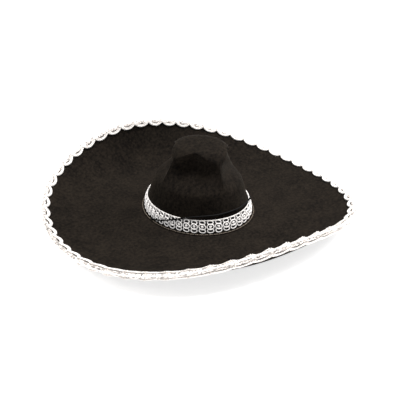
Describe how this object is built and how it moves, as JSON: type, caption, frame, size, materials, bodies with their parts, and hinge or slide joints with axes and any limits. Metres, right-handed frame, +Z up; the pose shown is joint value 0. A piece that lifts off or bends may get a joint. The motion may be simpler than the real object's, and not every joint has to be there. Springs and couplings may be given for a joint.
{
  "type": "sombrero",
  "caption": "Wide-brimmed black felt sombrero with a dented tall crown, rolled-up front and back, silver gimp edge braid and hatband, and a chin cord round the crown.",
  "frame": {"origin": "centre of the hat's plan on the flat underside of the brim", "axes": "+Z up through the crown, -Y towards the wearer's front, +X towards the wearer's left"},
  "size_m": [0.5612, 0.5334, 0.137],
  "materials": {
    "black_felt": "matt short-nap wool felt",
    "grey_board": "plain millboard",
    "spring_wire": "drawn",
    "silver_braid": "metallised thread, woven",
    "silver_cord": "metallised thread, twisted",
    "silver_thread": "sewing thread",
    "black_buckram": "stiffened open weave",
    "pale_thread": "sewing thread",
    "sweatband_leather": "smooth split leather",
    "black_tape": "ribbed tape",
    "black_thread": "sewing thread",
    "black_elastic": "braided cover over rubber"
  },
  "bodies": {
    "root": {"brim_under_felt": "black_felt", "brim_board": "grey_board", "brim_top_felt": "black_felt", "brim_wire": "spring_wire", "wire_sleeve": "spring_wire", "edge_binding": "silver_braid", "edge_bead": "silver_cord", "edge_loops_top": "silver_cord", "edge_loops_under": "silver_cord", "edge_eyelets_top": "silver_cord", "edge_eyelets_under": "silver_cord", "edge_stitches": "silver_thread", "crown_felt": "black_felt", "crown_buckram": "black_buckram", "seam_stitches": "pale_thread", "sweatband": "sweatband_leather", "sweatband_tape": "black_tape", "sweatband_stitches": "black_thread", "hatband_backing": "black_tape", "hatband_upper_rings": "silver_cord", "hatband_centre_rings": "silver_cord", "hatband_lower_rings": "silver_cord", "hatband_lap": "silver_braid", "hatband_tacks": "silver_thread", "chin_cord": "black_elastic", "cord_knot_right": "black_elastic", "cord_knot_left": "black_elastic"}
  },
  "joints": []
}
